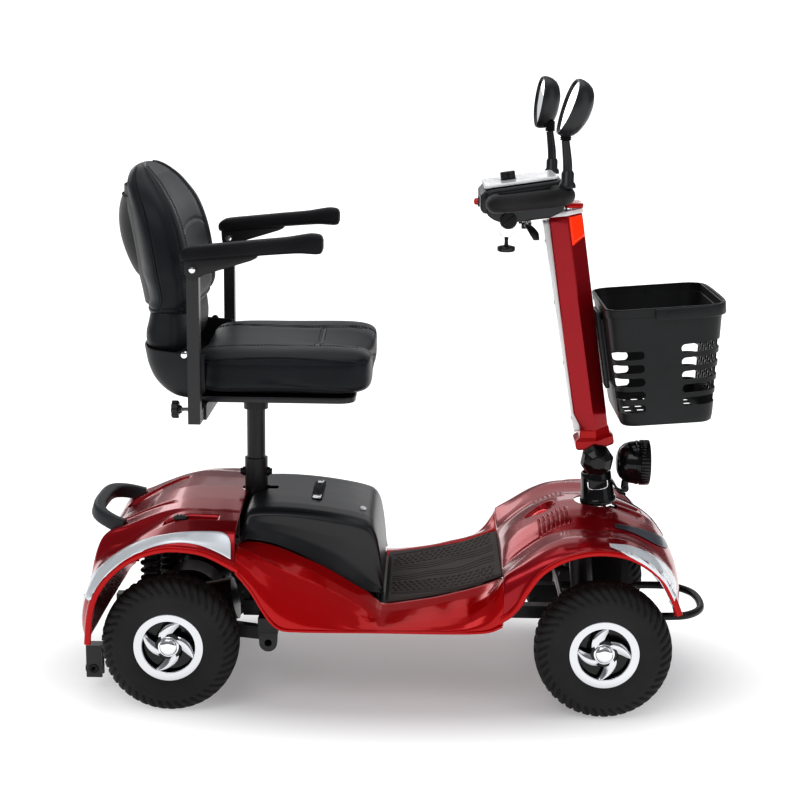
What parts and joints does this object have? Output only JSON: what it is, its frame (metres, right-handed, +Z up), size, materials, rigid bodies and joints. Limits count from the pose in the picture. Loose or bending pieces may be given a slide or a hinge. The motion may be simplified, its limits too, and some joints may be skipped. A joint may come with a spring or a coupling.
{
  "type": "mobility scooter",
  "caption": "Compact four-wheel electric mobility scooter: padded swivel seat with folding back and lift-up armrests, tilting tiller with wraparound bar, front basket.",
  "frame": {"origin": "centre of the overall box at ground level", "axes": "+X forwards, +Y to the rider's left, +Z up"},
  "size_m": [1.216, 0.588, 1.1763],
  "materials": {
    "red_gloss": "metallic candy red, clear coated",
    "black_steel": "semi-gloss black powder coat",
    "grey_plastic": "dark grey satin moulded plastic",
    "mat_rubber": "brown-grey moulded rubber",
    "cast_alloy": "dark cast housing",
    "black_rubber": "moulded rubber",
    "black_plastic": "fine grained moulded plastic",
    "tyre_rubber": "pneumatic tyre rubber",
    "chrome": "bright plated",
    "zinc_steel": "bright zinc plated",
    "black_gloss": "gloss black",
    "white_gloss": "white gloss",
    "foam_grip": "foam rubber grip",
    "red_plastic": "bright red",
    "textured_plastic": "grained moulded plastic",
    "black_leather": "grained synthetic leather",
    "soft_pad": "soft moulded skin",
    "satin_black": "satin moulded plastic"
  },
  "bodies": {
    "chassis": {"rear_frame": "black_steel", "front_frame": "black_steel", "seat_post_socket": "black_steel", "front_bumper": "black_steel", "rear_grab_handle": "grey_plastic", "front_cowl": "red_gloss", "footwell_shell": "red_gloss", "rear_cowl": "red_gloss", "foot_mat": "mat_rubber", "rear_springs": "black_steel"},
    "drive_swing": {"drive_unit": "cast_alloy"},
    "anti_tip_right": {"anti_tip_roller_right": "black_rubber"},
    "anti_tip_left": {"anti_tip_roller_left": "black_rubber"},
    "freewheel": {"freewheel_lever": "black_plastic"},
    "wheel_front_right": {"tyre_front_right": "tyre_rubber", "rim_front_right": "chrome"},
    "wheel_front_left": {"tyre_front_left": "tyre_rubber", "rim_front_left": "chrome"},
    "wheel_rear_right": {"tyre_rear_right": "tyre_rubber", "rim_rear_right": "chrome"},
    "wheel_rear_left": {"tyre_rear_left": "tyre_rubber", "rim_rear_left": "chrome"},
    "knuckle_right": {"knuckle_right": "black_steel"},
    "knuckle_left": {"knuckle_left": "black_steel"},
    "tie_rod": {"tie_rod": "zinc_steel"},
    "column": {"steering_column": "black_plastic"},
    "headlight": {"headlight": "black_gloss"},
    "tiller": {"tiller_tube": "zinc_steel", "tiller_cover": "red_gloss", "tiller_rear_panel": "white_gloss", "basket_bracket": "black_steel", "console_housing": "black_plastic", "dash_panel": "white_gloss", "handlebar_loop": "foam_grip"},
    "tilt_clamp": {"tilt_knob": "black_plastic"},
    "basket": {"basket": "black_plastic"},
    "basket_handle": {"basket_handle": "black_plastic"},
    "throttle": {"throttle_lever": "black_plastic"},
    "horn": {"horn_button": "red_plastic"},
    "dial": {"speed_dial": "black_plastic"},
    "key": {"safety_key": "black_plastic"},
    "mirror_arm_right": {"mirror_stem_right": "black_plastic"},
    "mirror_arm_left": {"mirror_stem_left": "black_plastic"},
    "mirror_right": {"mirror_head_right": "black_gloss"},
    "mirror_left": {"mirror_head_left": "black_gloss"},
    "post": {"seat_post": "black_steel"},
    "seat": {"seat_base": "black_steel", "seat_shell": "textured_plastic", "seat_cushion": "black_leather"},
    "swivel_release": {"swivel_lever": "black_steel"},
    "backrest": {"backrest_shell": "textured_plastic", "backrest_cushion": "black_leather"},
    "arm_slide_right": {"armrest_post_right": "black_steel"},
    "arm_slide_left": {"armrest_post_left": "black_steel"},
    "armrest_right": {"armrest_right": "soft_pad"},
    "armrest_left": {"armrest_left": "soft_pad"},
    "arm_clamp_right": {"armrest_knob_right": "black_plastic"},
    "arm_clamp_left": {"armrest_knob_left": "black_plastic"},
    "battery": {"battery_cover": "satin_black", "battery_cells": "grey_plastic"}
  },
  "joints": [
    {"name": "rear_suspension", "type": "hinge", "parent": "chassis", "child": "drive_swing", "pos_m": [-0.256, 0, 0.108], "axis": [0, 1, 0], "range_deg": [-2, 4], "stiffness_Nm_per_rad": 9000, "deforming": ["rear_springs"]},
    {"name": "wheel_rear_right_spin", "type": "hinge", "parent": "drive_swing", "child": "wheel_rear_right", "pos_m": [-0.433, -0.229, 0.128], "axis": [0, 1, 0], "continuous": true},
    {"name": "wheel_rear_left_spin", "type": "hinge", "parent": "drive_swing", "child": "wheel_rear_left", "pos_m": [-0.433, 0.229, 0.128], "axis": [0, 1, 0], "continuous": true},
    {"name": "anti_tip_right_spin", "type": "hinge", "parent": "drive_swing", "child": "anti_tip_right", "pos_m": [-0.593, -0.157, 0.047], "axis": [0, 1, 0], "continuous": true},
    {"name": "anti_tip_left_spin", "type": "hinge", "parent": "drive_swing", "child": "anti_tip_left", "pos_m": [-0.593, 0.157, 0.047], "axis": [0, 1, 0], "continuous": true},
    {"name": "freewheel_slide", "type": "slide", "parent": "chassis", "child": "freewheel", "axis": [1, 0, 0], "range_m": [0, 0.04]},
    {"name": "steer", "type": "hinge", "parent": "chassis", "child": "column", "pos_m": [0.3705, 0, 0.446], "axis": [-0.1132, 0, 0.9936], "range_deg": [-30, 30]},
    {"name": "kingpin_right", "type": "hinge", "parent": "chassis", "child": "knuckle_right", "pos_m": [0.375, -0.165, 0.128], "axis": [-0.1132, 0, 0.9936], "range_deg": [-30, 30]},
    {"name": "kingpin_left", "type": "hinge", "parent": "chassis", "child": "knuckle_left", "pos_m": [0.375, 0.165, 0.128], "axis": [-0.1132, 0, 0.9936], "range_deg": [-30, 30]},
    {"name": "tie_rod_swing", "type": "hinge", "parent": "column", "child": "tie_rod", "pos_m": [0.3415, 0, 0.1709], "axis": [-0.1132, 0, 0.9936], "range_deg": [-30, 30]},
    {"name": "wheel_front_right_spin", "type": "hinge", "parent": "knuckle_right", "child": "wheel_front_right", "pos_m": [0.375, -0.229, 0.128], "axis": [0, 1, 0], "continuous": true},
    {"name": "wheel_front_left_spin", "type": "hinge", "parent": "knuckle_left", "child": "wheel_front_left", "pos_m": [0.375, 0.229, 0.128], "axis": [0, 1, 0], "continuous": true},
    {"name": "headlight_tilt", "type": "hinge", "parent": "column", "child": "headlight", "pos_m": [0.433, 0, 0.379], "axis": [0, 1, 0], "range_deg": [-10, 15]},
    {"name": "tiller_tilt", "type": "hinge", "parent": "column", "child": "tiller", "pos_m": [0.3705, 0, 0.446], "axis": [0, -1, 0], "range_deg": [-4, 10]},
    {"name": "tilt_clamp_turn", "type": "hinge", "parent": "tiller", "child": "tilt_clamp", "pos_m": [0.3705, 0, 0.446], "axis": [0, 1, 0], "range_deg": [0, 270]},
    {"name": "basket_lift", "type": "slide", "parent": "tiller", "child": "basket", "axis": [-0.1064, 0, 0.9943], "range_m": [0, 0.05]},
    {"name": "basket_handle_swing", "type": "hinge", "parent": "basket", "child": "basket_handle", "pos_m": [0.482, 0, 0.748], "axis": [0, -1, 0], "range_deg": [0, 100]},
    {"name": "throttle_pull", "type": "hinge", "parent": "tiller", "child": "throttle", "pos_m": [0.222, 0, 0.9], "axis": [0, 1, 0], "range_deg": [-12, 12], "stiffness_Nm_per_rad": 1},
    {"name": "horn_press", "type": "slide", "parent": "tiller", "child": "horn", "axis": [1, 0, 0], "range_m": [0, 0.003], "stiffness_N_per_m": 600},
    {"name": "dial_turn", "type": "hinge", "parent": "tiller", "child": "dial", "pos_m": [0.1894, 0, 0.9765], "axis": [-0.1513, 0, 0.9885], "range_deg": [0, 270]},
    {"name": "key_swing", "type": "hinge", "parent": "tiller", "child": "key", "pos_m": [0.185, -0.06, 0.901], "axis": [0, 1, 0], "range_deg": [-30, 30]},
    {"name": "mirror_arm_right_turn", "type": "hinge", "parent": "tiller", "child": "mirror_arm_right", "pos_m": [0.285, -0.196, 0.985], "axis": [0, 0, 1], "range_deg": [-45, 45]},
    {"name": "mirror_arm_left_turn", "type": "hinge", "parent": "tiller", "child": "mirror_arm_left", "pos_m": [0.285, 0.196, 0.985], "axis": [0, 0, 1], "range_deg": [-45, 45]},
    {"name": "mirror_right_tilt", "type": "hinge", "parent": "mirror_arm_right", "child": "mirror_right", "pos_m": [0.279, -0.199, 1.07], "axis": [0, 1, 0], "range_deg": [-15, 15]},
    {"name": "mirror_left_tilt", "type": "hinge", "parent": "mirror_arm_left", "child": "mirror_left", "pos_m": [0.279, 0.199, 1.07], "axis": [0, 1, 0], "range_deg": [-15, 15]},
    {"name": "seat_height", "type": "slide", "parent": "chassis", "child": "post", "axis": [0, 0, 1], "range_m": [0, 0.075]},
    {"name": "seat_swivel", "type": "hinge", "parent": "post", "child": "seat", "pos_m": [-0.295, 0, 0.56], "axis": [0, 0, 1], "range_deg": [-90, 90]},
    {"name": "swivel_release_pull", "type": "hinge", "parent": "seat", "child": "swivel_release", "pos_m": [-0.256, 0.014, 0.568], "axis": [0, 0, 1], "range_deg": [0, 12], "stiffness_Nm_per_rad": 2},
    {"name": "backrest_fold", "type": "hinge", "parent": "seat", "child": "backrest", "pos_m": [-0.402, 0, 0.671], "axis": [0, 1, 0], "range_deg": [0, 72]},
    {"name": "armrest_right_width", "type": "slide", "parent": "seat", "child": "arm_slide_right", "axis": [0, -1, 0], "range_m": [0, 0.04]},
    {"name": "armrest_left_width", "type": "slide", "parent": "seat", "child": "arm_slide_left", "axis": [0, 1, 0], "range_m": [0, 0.04]},
    {"name": "armrest_right_lift", "type": "hinge", "parent": "arm_slide_right", "child": "armrest_right", "pos_m": [-0.376, -0.268, 0.835], "axis": [0, -1, 0], "range_deg": [0, 90]},
    {"name": "armrest_left_lift", "type": "hinge", "parent": "arm_slide_left", "child": "armrest_left", "pos_m": [-0.376, 0.268, 0.835], "axis": [0, -1, 0], "range_deg": [0, 90]},
    {"name": "arm_clamp_right_turn", "type": "hinge", "parent": "seat", "child": "arm_clamp_right", "pos_m": [-0.42, -0.2, 0.566], "axis": [1, 0, 0], "range_deg": [0, 360]},
    {"name": "arm_clamp_left_turn", "type": "hinge", "parent": "seat", "child": "arm_clamp_left", "pos_m": [-0.42, 0.2, 0.566], "axis": [1, 0, 0], "range_deg": [0, 360]},
    {"name": "battery_lift", "type": "slide", "parent": "chassis", "child": "battery", "axis": [0, 0, 1], "range_m": [0, 0.1]}
  ],
  "couplings": [
    {"joint": "kingpin_right", "follows": "steer", "ratio": 1},
    {"joint": "kingpin_left", "follows": "steer", "ratio": 1},
    {"joint": "tie_rod_swing", "follows": "steer", "ratio": -1}
  ]
}
